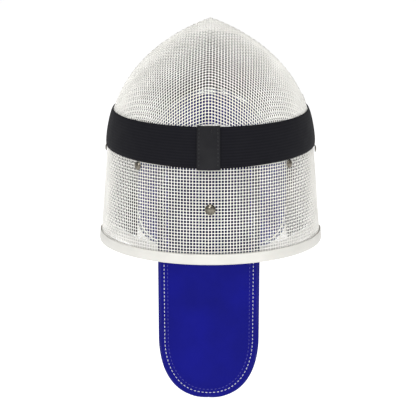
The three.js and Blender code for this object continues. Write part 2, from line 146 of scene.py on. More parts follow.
# ---- stage ----
SKY = {"horizon": 0.62, "above": 0.36, "fade": (0.12, 0.4)}  # bright at the horizon, dimmer overhead
CAMERA = {"elevation": 13.0, "azimuth": -1.1, "distance": 1.924, "aim": (0.0027, 0, -0.1743), "lens": 160.1,
          "sensor": 36, "sees_to": 200}
LIGHT_AIM = (0, 0, -0.12)
LIGHTS = {
    "key": {"at": (0.7, 2.6, 1.5), "size": 1.3, "power": 30},
    "top": {"at": (0.0, 0.9, 2.6), "size": 1.5, "power": 40},
    "fill": {"at": (-1.6, 2.0, 0.4), "size": 1.4, "power": 7},
}
# The floor's half size, and how far it lies under the object's lowest point, are in metres.
FLOOR = {"half": 60, "below": 0.12, "grey": 0.9, "glow": 0.62}


# ---- points on the surface; angle 0 is the back and pi the face, run 0 is the apex and 1 the shoulder ----

def mix(key, angle):
    """A meridian's value between the side's and the rear's or front's."""
    side = np.sin(angle) ** 2
    return SIDE[key] * side + np.where(np.cos(angle) >= 0, REAR[key], FRONT[key]) * (1 - side)


def shoulder_reach(angle):
    s = np.abs(np.sin(angle))
    c = np.cos(angle)
    end = np.where(c >= 0, REAR["reach"], FRONT["reach"])
    reach = 1 / np.hypot(s / SIDE["reach"], c / end)
    return np.where(c >= 0, reach, reach * (1 - KEEL * s * c * c))


def bezier(a, b, c, d, t):
    u = 1 - t
    return u * u * u * a + 3 * u * u * t * b + 3 * u * t * t * c + t * t * t * d


def surface(angle, run):
    """The point of the mask's surface at an angle and a run, for single values or arrays."""
    angle, run = np.broadcast_arrays(np.asarray(angle, float), np.asarray(run, float))
    s = np.abs(np.sin(angle))
    c = np.cos(angle)
    reach = shoulder_reach(angle)
    shoulder = mix("shoulder", angle)
    slope = SIDE["slope"] * s + np.where(c >= 0, REAR["slope"], FRONT["slope"]) * np.abs(c)
    lead = reach * mix("lead", angle)
    drop = mix("drop", angle)
    t = np.minimum(run, 1)
    below = np.maximum(run - 1, 0) * RECEDE_SPAN
    flare = WALL_FLARE + SIDE_FLARE * s * s
    r = bezier(0, lead, reach - WALL_FLARE * drop, reach, t) + flare * below
    r = r - np.where(c < 0, CHIN_RECEDE * c * c * (below / RECEDE_SPAN) ** 2 * reach, 0)
    depth = bezier(0, slope * lead, shoulder - drop, shoulder, t) + below
    return np.stack([r * np.sin(angle), r * c, APEX_Z - depth], axis=-1)


def normal_at(angle, run):
    """The outward unit normal."""
    angle, run = np.broadcast_arrays(np.asarray(angle, float), np.asarray(run, float))
    step = 1e-4
    along = surface(angle, run + step) - surface(angle, np.maximum(run - step, 1e-5))
    around = surface(angle + step, run) - surface(angle - step, run)
    normal = -np.cross(along, around)
    normal /= np.maximum(np.linalg.norm(normal, axis=-1, keepdims=True), 1e-15)
    normal[run < 1e-4] = (0, 0, 1)
    return normal


def offset_point(angle, run, offset):
    return surface(angle, run) + normal_at(angle, run) * np.asarray(offset, float)[..., None]


def run_at_depth(angle, depth):
    """The run at which a meridian has dropped to a depth below the apex."""
    angle, depth = np.broadcast_arrays(np.asarray(angle, float), np.asarray(depth, float))
    low = np.zeros(angle.shape)
    high = np.full(angle.shape, LONGEST_RUN)
    for _ in range(HALVINGS["run"]):
        middle = (low + high) / 2
        above = APEX_Z - surface(angle, middle)[..., 2] < depth
        low = np.where(above, middle, low)
        high = np.where(above, high, middle)
    return (low + high) / 2


def on_wall(angle, depth, offset):
    return offset_point(angle, run_at_depth(angle, depth), offset)


def inside_face(x, depth, inward):
    """The point of the face's inside at a sideways place and a depth."""
    x, depth = np.broadcast_arrays(np.asarray(x, float), np.asarray(depth, float))
    low = np.full(x.shape, math.pi / 2)
    high = np.full(x.shape, math.pi)
    for _ in range(HALVINGS["angle"]):
        middle = (low + high) / 2
        wide = on_wall(middle, depth, -inward)[..., 0] > np.abs(x)
        low = np.where(wide, middle, low)
        high = np.where(wide, high, middle)
    point = on_wall((low + high) / 2, depth, -inward)
    point[..., 0] *= np.where(x < 0, -1, 1)
    return point


def rim_depth(angle):
    ahead = np.cos(angle) < 0
    return RIM_DEPTH + np.where(ahead, CHIN_DROP * (1 - np.abs(np.sin(angle)) ** 3), 0)


# ---- materials ----

class Shader:
    """A short way to wire up a node material."""

    def __init__(self, name, **values):
        self.material = bpy.data.materials.new(name)
        self.material.use_nodes = True
        self.nodes = self.material.node_tree.nodes
        self.links = self.material.node_tree.links
        self.main = self.nodes["Principled BSDF"]
        for key, value in values.items():
            self.main.inputs[key.replace("_", " ")].default_value = value

    def node(self, kind, **values):
        made = self.nodes.new(kind)
        for key, value in values.items():
            if hasattr(made, key):
                setattr(made, key, value)
            else:
                made.inputs[key.replace("_", " ")].default_value = value
        return made

    def place(self, scale=(1, 1, 1), uv=False):
        """The object's own coordinates in metres, or the piece's laid-out ones."""
        coordinates = self.node("ShaderNodeTexCoord")
        mapping = self.node("ShaderNodeMapping", Scale=scale)
        self.links.new(coordinates.outputs["UV" if uv else "Object"], mapping.inputs["Vector"])
        return mapping.outputs["Vector"]

    def noise(self, scale, detail=3.0):
        made = self.node("ShaderNodeTexNoise", Scale=scale, Detail=detail)
        self.links.new(self.place(), made.inputs["Vector"])
        return made.outputs["Fac"]

    def ramp(self, value, low, high, colours):
        made = self.node("ShaderNodeValToRGB")
        made.color_ramp.elements[0].position = low
        made.color_ramp.elements[1].position = high
        made.color_ramp.elements[0].color = (*colours[0], 1)
        made.color_ramp.elements[1].color = (*colours[1], 1)
        self.links.new(value, made.inputs["Fac"])
        return made.outputs["Color"]

    def span(self, value, low, high, goal):
        """Sends a 0 to 1 value to a socket as low to high."""
        made = self.node("ShaderNodeMapRange", To_Min=low, To_Max=high)
        self.links.new(value, made.inputs["Value"])
        self.links.new(made.outputs["Result"], self.main.inputs[goal])

    def above(self, low, high, colour, other):
        """Goes from a colour to another one between two heights."""
        split = self.node("ShaderNodeSeparateXYZ")
        self.links.new(self.place(), split.inputs["Vector"])
        rise = self.node("ShaderNodeMapRange", From_Min=low, From_Max=high)
        self.links.new(split.outputs["Z"], rise.inputs["Value"])
        made = self.node("ShaderNodeMixRGB")
        made.inputs["Color2"].default_value = (*other, 1)
        self.links.new(rise.outputs["Result"], made.inputs["Fac"])
        self.links.new(colour, made.inputs["Color1"])
        return made.outputs["Color"]

    def colour(self, value):
        self.links.new(value, self.main.inputs["Base Color"])

    def bump(self, *heights):
        """Each height is (value, distance, strength), the coarsest first."""
        last = None
        for value, distance, strength in heights:
            made = self.node("ShaderNodeBump", Distance=distance, Strength=strength)
            self.links.new(value, made.inputs["Height"])
            if last:
                self.links.new(last, made.inputs["Normal"])
            last = made.outputs["Normal"]
        self.links.new(last, self.main.inputs["Normal"])


def wire_material():
    shader = Shader("wire", Metallic=0.12, Roughness=0.42)
    tarnish = shader.noise(38, 4)
    shader.colour(shader.ramp(tarnish, 0.35, 0.7, ((0.84, 0.83, 0.79), (0.97, 0.96, 0.92))))
    shader.span(shader.noise(160, 2), 0.34, 0.55, "Roughness")
    shader.bump((shader.noise(900, 2), 0.00008, 0.5))
    return shader.material


def binding_material():
    shader = Shader("binding_vinyl", Roughness=0.46, Coat_Weight=0.12, Coat_Roughness=0.3)
    shader.colour(shader.ramp(shader.noise(26, 4), 0.3, 0.75, ((0.61, 0.60, 0.56), (0.70, 0.69, 0.65))))
    shader.span(shader.noise(110, 3), 0.38, 0.58, "Roughness")
    shader.bump((shader.noise(90, 3), 0.0006, 0.3), (shader.noise(1400, 2), 0.00006, 0.35))
    return shader.material


def vinyl_material(name, deep, light, shade, roughness=0.42):
    """Coated cloth with a fine leather grain and faint creasing; painted shade darkens it inside the mask."""
    shader = Shader(name, Roughness=roughness, Sheen_Weight=0.005, Specular_IOR_Level=0.09)
    outside = shader.ramp(shader.noise(22, 5), 0.3, 0.75, (deep, light))
    # Painted shade: above the rim the tongue turns to the darker shade colour, standing in for the mask's
    # shadow.
    shader.colour(shader.above(PAINTED_SHADE_LOW, PAINTED_SHADE_HIGH, outside, shade))
    shader.span(shader.noise(70, 3), roughness - 0.06, roughness + 0.12, "Roughness")
    grain = shader.node("ShaderNodeTexVoronoi", Scale=1100)
    shader.links.new(shader.place(), grain.inputs["Vector"])
    shader.bump((shader.noise(45, 4), 0.0009, 0.35), (grain.outputs["Distance"], 0.00012, 0.35))
    return shader.material


def cloth_material(name, deep, light):
    """Brushed lining cloth: a fine woven ground under a soft nap."""
    shader = Shader(name, Roughness=0.85, Sheen_Weight=0.01, Specular_IOR_Level=0.08)
    shader.colour(shader.ramp(shader.noise(60, 5), 0.3, 0.7, (deep, light)))
    weave = shader.node("ShaderNodeTexWave", Scale=420, Distortion=0.6)
    shader.links.new(shader.place(), weave.inputs["Vector"])
    shader.bump((shader.noise(70, 4), 0.0008, 0.4), (weave.outputs["Fac"], 0.00015, 0.5))
    return shader.material


def elastic_material():
    """Knitted elastic: ribs run the strap's length, crossed by a fine stitch."""
    shader = Shader("elastic", Roughness=0.78, Sheen_Weight=0.01, Specular_IOR_Level=0.11)
    ribs = shader.node("ShaderNodeTexWave", bands_direction="Y", Scale=110, Distortion=0.25)
    shader.links.new(shader.place(uv=True), ribs.inputs["Vector"])
    stitch = shader.node("ShaderNodeTexWave", bands_direction="X", Scale=250, Distortion=0.5)
    shader.links.new(shader.place(uv=True), stitch.inputs["Vector"])
    colours = ((0.0045, 0.0045, 0.007), (0.007, 0.007, 0.010))
    shader.colour(shader.ramp(ribs.outputs["Fac"], 0.1, 0.9, colours))
    shader.span(shader.noise(80, 3), 0.68, 0.88, "Roughness")
    shader.bump((ribs.outputs["Fac"], 0.00012, 0.35), (stitch.outputs["Fac"], 0.00012, 0.4))
    return shader.material


def leather_material():
    shader = Shader("black_leather", Roughness=0.3, Specular_IOR_Level=0.19)
    shader.colour(shader.ramp(shader.noise(70, 4), 0.3, 0.7, ((0.004, 0.004, 0.006), (0.008, 0.008, 0.010))))
    grain = shader.node("ShaderNodeTexVoronoi", Scale=1500)
    shader.links.new(shader.place(), grain.inputs["Vector"])
    shader.span(shader.noise(190, 3), 0.3, 0.48, "Roughness")
    shader.bump((shader.noise(120, 3), 0.0004, 0.25), (grain.outputs["Distance"], 0.0001, 0.35))
    return shader.material


def nickel_material():
    shader = Shader("nickel", Metallic=1.0, Roughness=0.2)
    # The base colour is far darker than nickel's: painted dark reflections, as the world round the rivets is
    # pale.
    shader.colour(shader.ramp(shader.noise(240, 3), 0.3, 0.75, ((0.10, 0.09, 0.075), (0.25, 0.23, 0.19))))
    shader.span(shader.noise(420, 3), 0.13, 0.3, "Roughness")
    shader.bump((shader.noise(700, 2), 0.00008, 0.3))
    return shader.material


def thread_material(name, deep, light):
    shader = Shader(name, Roughness=0.75, Sheen_Weight=0.05)
    twist = shader.node("ShaderNodeTexWave", Scale=900, Distortion=1.0, bands_direction="DIAGONAL")
    shader.links.new(shader.place(), twist.inputs["Vector"])
    shader.colour(shader.ramp(twist.outputs["Fac"], 0.1, 0.9, (deep, light)))
    shader.bump((twist.outputs["Fac"], 0.0001, 0.6))
    return shader.material


# ---- making meshes ----

def make_piece(name, points, faces, material, replaces=()):
    mesh = bpy.data.meshes.new(name)
    mesh.from_pydata(np.asarray(points, float).tolist(), [], np.asarray(faces).tolist())
    mesh.polygons.foreach_set("use_smooth", [True] * len(mesh.polygons))
    mesh.materials.append(material)
    piece = bpy.data.objects.new(name, mesh)
    bpy.context.scene.collection.objects.link(piece)
    finish_piece(piece, replaces)
    return piece


def finish_piece(piece, replaces):
    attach(piece, "root")
    if replaces:
        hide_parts(*replaces)


def face_outwards(piece):
    solid = bmesh.new()
    solid.from_mesh(piece.data)
    bmesh.ops.remove_doubles(solid, verts=solid.verts, dist=1e-6)
    bmesh.ops.recalc_face_normals(solid, faces=solid.faces)
    solid.to_mesh(piece.data)
    solid.free()


def lofted(name, sections, material, closed, replaces):
    """A tube of sections, each a closed loop of points, capped unless it runs all the way round."""
    sections = np.asarray(sections, float)
    rows, corners = sections.shape[:2]
    i, j = np.meshgrid(np.arange(rows if closed else rows - 1), np.arange(corners), indexing="ij")
    k, m = (i + 1) % rows, (j + 1) % corners
    quads = np.stack([i * corners + j, i * corners + m, k * corners + m, k * corners + j], -1).reshape(-1, 4)
    faces = quads.tolist()
    if not closed:
        faces.append(list(range(corners)))
        faces.append(list(range((rows - 1) * corners, rows * corners)))
    mesh = bpy.data.meshes.new(name)
    mesh.from_pydata(sections.reshape(-1, 3).tolist(), [], faces)
    mesh.materials.append(material)
    piece = bpy.data.objects.new(name, mesh)
    bpy.context.scene.collection.objects.link(piece)
    face_outwards(piece)
    piece.data.polygons.foreach_set("use_smooth", [True] * len(piece.data.polygons))
    finish_piece(piece, replaces)


def padded_sheet(outer, inner, closed=False):
    """Points and faces of a pad between two grids; closed joins the last row to the first."""
    rows, columns = outer.shape[:2]
    points = np.concatenate([outer.reshape(-1, 3), inner.reshape(-1, 3)])
    back = rows * columns
    last_row = rows if closed else rows - 1
    faces = []
    for i in range(last_row):
        k = (i + 1) % rows
        for j in range(columns - 1):
            a, b, c, d = i * columns + j, k * columns + j, k * columns + j + 1, i * columns + j + 1
            faces += [(a, b, c, d), (a + back, d + back, c + back, b + back)]
    if not closed:
        for i, order in ((0, 1), (rows - 1, -1)):
            for j in range(columns - 1):
                a = i * columns + j
                faces.append((a, a + 1, a + 1 + back, a + back)[::order])
    for j, order in ((0, -1), (columns - 1, 1)):
        for i in range(last_row):
            a, b = i * columns + j, ((i + 1) % rows) * columns + j
            faces.append((a, b, b + back, a + back)[::order])
    return points, faces


# ---- woven wire net: every cell has the same side, so its corners shear as the wires follow the dome ----

def chart_surface(chart):
    return surface(np.arctan2(chart[..., 0], chart[..., 1]), np.hypot(chart[..., 0], chart[..., 1]))


def chart_point(angle, run):
    return np.stack([run * np.sin(angle), run * np.cos(angle)], axis=-1)


def walk(fine, count):
    """The chart points of a fine line that lie a pitch apart."""
    points = chart_surface(fine)
    kept = [0]
    for _ in range(count):
        far = np.linalg.norm(points[kept[-1] + 1:] - points[kept[-1]], axis=-1) >= WIRE_PITCH
        if not far.any():
            break
        kept.append(kept[-1] + 1 + int(np.argmax(far)))
    return fine[kept]


def meet(guess, left, right):
    """The chart point a pitch from both neighbours, by Newton's method."""
    chart = guess.copy()
    step = NEWTON["step"]
    a, b = chart_surface(left), chart_surface(right)
    for _ in range(NEWTON["rounds"]):
        here = chart_surface(chart)
        along_p = (chart_surface(chart + np.array([step, 0])) - here) / step
        along_q = (chart_surface(chart + np.array([0, step])) - here) / step
        to_a, to_b = here - a, here - b
        miss_a = (to_a ** 2).sum(-1) - WIRE_PITCH ** 2
        miss_b = (to_b ** 2).sum(-1) - WIRE_PITCH ** 2
        ap, aq = 2 * (to_a * along_p).sum(-1), 2 * (to_a * along_q).sum(-1)
        bp, bq = 2 * (to_b * along_p).sum(-1), 2 * (to_b * along_q).sum(-1)
        fold = ap * bq - aq * bp
        fold = np.where(np.abs(fold) < 1e-15, np.nan, fold)
        move = np.stack([(miss_a * bq - miss_b * aq) / fold, (ap * miss_b - bp * miss_a) / fold], -1)
        size = np.linalg.norm(move, axis=-1, keepdims=True)
        chart = chart - move * np.minimum(1, NEWTON["longest"] / np.maximum(size, 1e-12))
    apart = np.linalg.norm(chart_surface(chart) - a, axis=-1)
    chart[~(np.abs(apart - WIRE_PITCH) < NEWTON["miss"] * WIRE_PITCH)] = np.nan
    return chart


def spread(rows_line, columns_line):
    """A quarter of a net, grown from the two wires that it starts from."""
    net = np.full((len(rows_line), len(columns_line), 2), np.nan)
    net[:, 0] = rows_line
    net[0, :] = columns_line
    for total in range(2, sum(net.shape[:2]) - 1):
        i = np.arange(max(1, total - net.shape[1] + 1), min(net.shape[0], total))
        j = total - i
        near, left, right = net[i - 1, j - 1], net[i - 1, j], net[i, j - 1]
        known = np.isfinite(near[:, 0]) & np.isfinite(left[:, 0]) & np.isfinite(right[:, 0])
        if not known.any():
            continue
        i, j, near, left, right = i[known], j[known], near[known], left[known], right[known]
        found = meet(left + right - near, left, right)
        diagonal = np.linalg.norm(chart_surface(found) - chart_surface(near), axis=-1)
        found[diagonal < FOLDED_CELL * WIRE_PITCH] = np.nan
        net[i, j] = found
    return net


def wires(net, keep, along):
    """Tube points and faces for one family of a net's wires, each dipping under and over the other's."""
    angle = np.arctan2(net[..., 0], net[..., 1])
    run = np.hypot(net[..., 0], net[..., 1])
    wave = np.where(np.add.outer(np.arange(net.shape[0]), np.arange(net.shape[1])) % 2, 1, -1)
    lift = WEAVE_LIFT * wave * (1 if along == 0 else -1)
    good = np.isfinite(angle) & keep(angle, run)
    angle, run = np.where(good, angle, 0), np.where(good, run, 0.5)
    centre = offset_point(angle, run, lift)
    up = normal_at(angle, run)
    if along == 1:
        centre, up, good = centre.swapaxes(0, 1), up.swapaxes(0, 1), good.T
    ahead, behind = np.roll(centre, -1, axis=0), np.roll(centre, 1, axis=0)
    has_next = good & np.roll(good, -1, axis=0)
    has_next[-1] = False
    has_last = np.roll(has_next, 1, axis=0)
    direction = np.where(has_next[..., None], ahead, centre) - np.where(has_last[..., None], behind, centre)
    direction /= np.maximum(np.linalg.norm(direction, axis=-1, keepdims=True), 1e-12)
    across = np.cross(direction, up)
    across /= np.maximum(np.linalg.norm(across, axis=-1, keepdims=True), 1e-12)
    turn = np.arange(WIRE_SIDES) * 2 * math.pi / WIRE_SIDES
    ring = centre[..., None, :] + WIRE_RADIUS * (
        across[..., None, :] * np.cos(turn)[:, None] + up[..., None, :] * np.sin(turn)[:, None])
    used = has_next | has_last
    number = np.cumsum(used.ravel()).reshape(used.shape) - 1
    start = number[has_next] * WIRE_SIDES
    end = np.roll(number, -1, axis=0)[has_next] * WIRE_SIDES
    sides = np.arange(WIRE_SIDES)
    nexts = (sides + 1) % WIRE_SIDES
    start, end = start[:, None], end[:, None]
    faces = np.stack([start + sides, start + nexts, end + nexts, end + sides], -1)
    return ring[used].reshape(-1, 3), faces.reshape(-1, 4)


def mirrored(parts):
    """Joins the parts and their mirror images across the middle plane."""
    points, faces, count = [], [], 0
    for part_points, part_faces in parts:
        for side in (1, -1):
            points.append(part_points * np.array([side, 1, 1]))
            faces.append((part_faces if side > 0 else part_faces[:, ::-1]) + count)
            count += len(part_points)
    return np.concatenate(points), np.concatenate(faces)


def within_rim(angle, run):
    return APEX_Z - surface(angle, run)[..., 2] < rim_depth(angle) - RIM_CLEAR


def crown_and_face(angle, run):
    depth = APEX_Z - surface(angle, run)[..., 2]
    return within_rim(angle, run) & ((depth < JOIN_DEPTH) | (np.abs(angle) > JOIN_ANGLE))


def behind_ears(angle, run):
    depth = APEX_Z - surface(angle, run)[..., 2]
    return within_rim(angle, run) & (depth > JOIN_DEPTH - REAR_LAP) & (np.abs(angle) < JOIN_ANGLE)


def add_net(name, quarters, keep, replaces):
    for family, along in (("warp", 0), ("weft", 1)):
        points, faces = mirrored([wires(net, keep, along) for net in quarters])
        make_piece(f"{name}_{family}", points, faces, WIRE, replaces=replaces)


def meridian(angle, reach):
    """A starting wire that runs from the apex down to a run."""
    run = np.linspace(0, 1, LINE_STEPS) * reach
    return walk(chart_point(np.full(run.shape, angle), run), CROWN_WIRES)


def add_crown_net():
    ear = meridian(math.pi / 2, RUN_REACH["ear"])
    rear = spread(meridian(0, RUN_REACH["rear"]), ear)
    face = spread(meridian(math.pi, RUN_REACH["face"]), ear)
    nodes = ("crown_mesh", "crown_band_mesh", "brow_band_mesh", "face_mesh")
    add_net("crown_net", [rear, face], crown_and_face, nodes)


def add_rear_net():
    top = JOIN_DEPTH - REAR_LAP
    low = float(run_at_depth(0.0, RIM_DEPTH))
    high = float(run_at_depth(0.0, top))
    share = np.linspace(0, 1, LINE_STEPS)
    angle = share * REAR_WIRES["reach"]
    down = walk(chart_point(np.zeros(share.shape), high + (low - high) * share), REAR_WIRES["down"])
    around = walk(chart_point(angle, run_at_depth(angle, np.full(share.shape, top))), REAR_WIRES["round"])
    add_net("rear_net", [spread(down, around)], behind_ears, ("rear_wall_mesh",))


# ---- bands ----

def rounded(corners, radius, steps=3):
    """A closed profile of (offset, depth) corners with each corner rounded."""
    corners = np.asarray(corners, float)
    made = []
    for i, corner in enumerate(corners):
        before, after = corners[i - 1] - corner, corners[(i + 1) % len(corners)] - corner
        size = min(radius, 0.45 * np.linalg.norm(before), 0.45 * np.linalg.norm(after))
        start = corner + before / np.linalg.norm(before) * size
        end = corner + after / np.linalg.norm(after) * size
        for t in np.linspace(0, 1, steps):
            made.append((1 - t) ** 2 * start + 2 * t * (1 - t) * corner + t * t * end)
    return np.array(made)


def add_rim_binding():
    slot = MESH_HALF + GAP
    tall, under = RIM_BAND["tall"], RIM_BAND["under"]
    profile = rounded([
        (RIM_BAND["outer"], under - tall), (RIM_BAND["outer"], under), (-RIM_BAND["inner"], under),
        (-RIM_BAND["inner"], under - tall), (-slot, under - tall), (-slot, GAP), (slot, GAP),
        (slot, under - tall),
    ], RIM_BAND["corner"])
    angles = np.linspace(-math.pi, math.pi, RIM_SECTIONS + 1)[:-1]
    rim = rim_depth(angles)[:, None]
    sections = on_wall(angles[:, None], rim + profile[:, 1], profile[:, 0] + 0 * rim)
    lofted("rim_band", sections, BINDING, True, ("rim_binding",))


def add_joint_strips():
    for side, label in ((1, "left"), (-1, "right")):
        middle = math.radians((JOINT_STRIP["from"] + JOINT_STRIP["to"]) / 2)
        half = math.radians(JOINT_STRIP["to"] - JOINT_STRIP["from"]) / 2
        low = MESH_HALF + JOINT_STRIP["gap"]
        profile = rounded([(low, -half), (low + JOINT_STRIP["thick"], -half),
                           (low + JOINT_STRIP["thick"], half), (low, half)], JOINT_STRIP["corner"], 4)
        high = JOINT_STRIP["top"]
        sections = []
        for part in np.linspace(0, 1, JOINT_STRIP["steps"]):
            angle = (middle + profile[:, 1]) * side
            last = rim_depth(angle) - RIM_BAND["tall"] + RIM_BAND["under"] - GAP
            sections.append(on_wall(angle, high + (last - high) * part, profile[:, 0]))
        lofted(f"joint_band_{label}", sections, BINDING, False, (f"joint_strip_{label}",))


def strap_bottom(angle):
    """The strap's lower edge, which rises towards the ears."""
    return STRAP["bottom"] - STRAP["side_rise"] * np.abs(np.sin(angle)) ** STRAP["rise_power"]


def add_strap():
    """The strap, laid out by length and width so that its ribs run along it."""
    low = MESH_HALF + GAP
    thick = STRAP["thick"]
    angles = np.radians(np.linspace(-STRAP["end"], STRAP["end"], STRAP["steps"]))
    across = np.linspace(-1, 1, STRAP["columns"])
    tall = (strap_bottom(angles) - STRAP["top"])[:, None]
    depth = STRAP["top"] + tall * (across + 1) / 2
    full = 1 - np.abs(across) ** STRAP["edge_power"]
    proud = low + thick * (STRAP["edge"] + (1 - STRAP["edge"]) * full) + 0 * depth
    outer = on_wall(angles[:, None], depth, proud)
    inner = on_wall(angles[:, None], depth, np.full(depth.shape, low))
    points, faces = padded_sheet(outer, inner)
    piece = make_piece("strap_band", points, faces, ELASTIC, replaces=("back_strap",))
    centre = outer[:, STRAP["columns"] // 2]
    along = np.concatenate([[0], np.cumsum(np.linalg.norm(np.diff(centre, axis=0), axis=-1))])
    layout = np.stack(np.broadcast_arrays(along[:, None], across * tall / 2), -1).reshape(-1, 2)
    layout = np.concatenate([layout, layout])
    corners = np.zeros(len(piece.data.loops), int)
    piece.data.loops.foreach_get("vertex_index", corners)
    uv = piece.data.uv_layers.new(name="lay")
    uv.data.foreach_set("uv", layout[corners].ravel())


def add_keeper():
    foot = MESH_HALF + GAP
    inside = foot + STRAP["thick"] + GAP
    face = inside + KEEPER["thick"]
    tall = (STRAP["bottom"] - STRAP["top"]) / 2 + GAP
    middle = (STRAP["bottom"] + STRAP["top"]) / 2
    end = tall + KEEPER["leg"]
    reach = KEEPER["half"] / (REAR["reach"] + KEEPER["proud"])
    profile = rounded([
        (foot, -end), (face - KEEPER["swell"], -end), (face, -tall), (face + KEEPER["swell"], 0),
        (face, tall), (face - KEEPER["swell"], end), (foot, end), (foot, tall),
        (inside, tall), (inside, 0), (inside, -tall), (foot, -tall),
    ], KEEPER["corner"], 4)
    sections = []
    for part in np.concatenate([[-1, -0.985, -0.95], np.linspace(-0.88, 0.88, 15), [0.95, 0.985, 1]]):
        near_end = max(0, (abs(part) - KEEPER["pinch_from"]) / (1 - KEEPER["pinch_from"]))
        pinch = 1 - KEEPER["pinch"] * near_end ** 2
        offset = np.where(profile[:, 0] > inside, inside + (profile[:, 0] - inside) * pinch, profile[:, 0])
        angle = np.full(len(profile), part * reach)
        sections.append(on_wall(angle, middle + profile[:, 1], offset))
    lofted("keeper_tab", sections, LEATHER, False, ("strap_keeper",))
    add_keeper_stitches(middle, face, end, reach)


def add_keeper_stitches(middle, face, end, reach):
    """A row of dark stitches near each long edge, and the stud that closes the tab near its top."""
    paths = []
    for side in (-KEEPER_STITCH["across"], KEEPER_STITCH["across"]):
        reach_down = end - KEEPER_STITCH["inset"]
        depth = np.linspace(-reach_down, reach_down, KEEPER_STITCH["steps"])
        angle = np.full(depth.shape, side * reach)
        crown = face + KEEPER["swell"] * (1 - np.abs(depth) / end) - KEEPER_STITCH["sunk"]
        paths.append(on_wall(angle, middle + depth, crown))
    add_stitches("keeper_stitches", paths, (0, 1, 0), BLACK_THREAD, KEEPER_STITCH["radius"])
    add_dome("keeper_stud", KEEPER_STUD["angle"], middle - KEEPER_STUD["up"], face + KEEPER_STUD["lift"],
             KEEPER_STUD["radius"], KEEPER_STUD["tall"], LEATHER, ())


def add_stitches(name, paths, outward, material, radius):
    """Short rounded thread lengths along each path, sunk a little at their ends."""
    points, faces, count = [], [], 0
    outward = np.array(outward, float)
    rings = len(THREAD_SIZES)
    part = np.linspace(0, 1, rings)
    turn = np.arange(THREAD_SIDES) * 2 * math.pi / THREAD_SIDES
    for path in paths:
        length = np.concatenate([[0], np.cumsum(np.linalg.norm(np.diff(path, axis=0), axis=-1))])
        for start in np.arange(0, length[-1] - STITCH["length"], STITCH["pitch"]):
            at = start + STITCH["length"] * part
            line = np.stack([np.interp(at, length, path[:, a]) for a in range(3)], -1)
            arc = THREAD_ARC["rise"] * np.sin(part * math.pi) - THREAD_ARC["sunk"]
            line += np.outer(arc * radius, outward)
            ahead = np.gradient(line, axis=0)
            ahead /= np.linalg.norm(ahead, axis=-1, keepdims=True)
            across = np.cross(ahead, outward)
            across /= np.linalg.norm(across, axis=-1, keepdims=True)
            up = np.cross(across, ahead)
            size = radius * np.array(THREAD_SIZES)[:, None, None]
            ring = line[:, None] + size * (
                across[:, None] * np.cos(turn)[:, None] + up[:, None] * np.sin(turn)[:, None])
            points.append(ring.reshape(-1, 3))
            for i in range(rings - 1):
                for j in range(THREAD_SIDES):
                    here = count + i * THREAD_SIDES
                    m = (j + 1) % THREAD_SIDES
                    faces.append([here + j, here + m, here + THREAD_SIDES + m, here + THREAD_SIDES + j])
            count += rings * THREAD_SIDES
    make_piece(name, np.concatenate(points), faces, material)


# ---- tongue ----

def tongue_half_width(depth):
    start = TONGUE["tip"] - TONGUE["end_tall"]
    straight = TONGUE["half"] - TONGUE["taper"] * (depth - TONGUE["top"]) / (start - TONGUE["top"])
    corner = np.maximum(TONGUE["top"] + TONGUE["corner"] - depth, 0)
    straight = straight - corner ** 2 / TONGUE["corner"]
    part = np.clip((depth - start) / TONGUE["end_tall"], 0, 1)
    power = TONGUE["end_power"]
    rounded_end = (TONGUE["half"] - TONGUE["taper"]) * (1 - part ** power) ** (1 / power)
    return np.where(depth <= start, straight, rounded_end)


def tongue_back(x, depth):
    clear = RIM_BAND["inner"] + TONGUE["gap"]
    middle = on_wall(np.zeros(np.shape(depth)), np.minimum(depth, RIM_DEPTH), -clear)[..., 1]
    hang = np.maximum(depth - RIM_DEPTH, 0) / (TONGUE["tip"] - RIM_DEPTH)
    bend = (1 - TONGUE["flatten"] * hang) / (2 * (REAR["reach"] - TONGUE["curl"]))
    return middle - TONGUE["lean"] * hang * hang - x * x * bend


def tongue_frame(inset):
    """A line round the tongue, a distance in from its edge, as (x, depth)."""
    count = TONGUE_GRID["frame"]
    start = TONGUE["tip"] - TONGUE["end_tall"]
    straight = np.linspace(TONGUE["top"] + inset, start, count)
    turn = np.linspace(0, math.pi / 2, count)
    tall = TONGUE["end_tall"] - inset
    low = start + tall * np.sin(turn)
    power = TONGUE["end_power"]
    wide = (TONGUE["half"] - TONGUE["taper"] - inset) * (1 - np.sin(turn) ** power) ** (1 / power)
    x = np.concatenate([tongue_half_width(straight) - inset, wide])
    depth = np.concatenate([straight, low])
    return np.concatenate([np.stack([x, depth], -1), np.stack([-x, depth], -1)[::-1]])


def add_tongue():
    row = 1 - (1 - np.linspace(0, 1, TONGUE_GRID["rows"])) ** TONGUE_GRID["crowding"]
    depth = TONGUE["top"] + (TONGUE["tip"] - TONGUE["top"]) * row
    column = np.sin(np.linspace(-1, 1, TONGUE_GRID["columns"]) * math.pi / 2)
    half = np.maximum(tongue_half_width(depth), TONGUE["tip_half"])
    x = column * half[:, None]
    depth = depth[:, None] + 0 * x
    from_side = half[:, None] * (1 - np.abs(column))
    from_end = np.minimum(TONGUE["tip"] - depth, depth - TONGUE["top"])
    near = np.minimum(from_side, from_end)
    full = np.sqrt(np.clip(near / TONGUE["full_after"], 0, 1))
    thick = TONGUE["edge"] + (TONGUE["pad"] - TONGUE["edge"]) * full
    groove = np.exp(-((near - STITCH["inset"]) / TONGUE["groove_half"]) ** 2) * TONGUE["groove"]
    edge_round = TONGUE["edge_round"] * np.clip(1 - near / TONGUE["edge_reach"], 0, 1) ** 2
    back = tongue_back(x, depth)
    outer = np.stack([x, back - groove - edge_round, APEX_Z - depth], -1)
    inner = np.stack([x, back - thick + groove + edge_round, APEX_Z - depth], -1)
    points, faces = padded_sheet(outer, inner)
    tongue = make_piece("tongue_pad", points, faces, TONGUE_VINYL, replaces=("tongue",))
    face_outwards(tongue)
    swell(tongue, TONGUE["swell"])
    add_tongue_stitches(tongue)


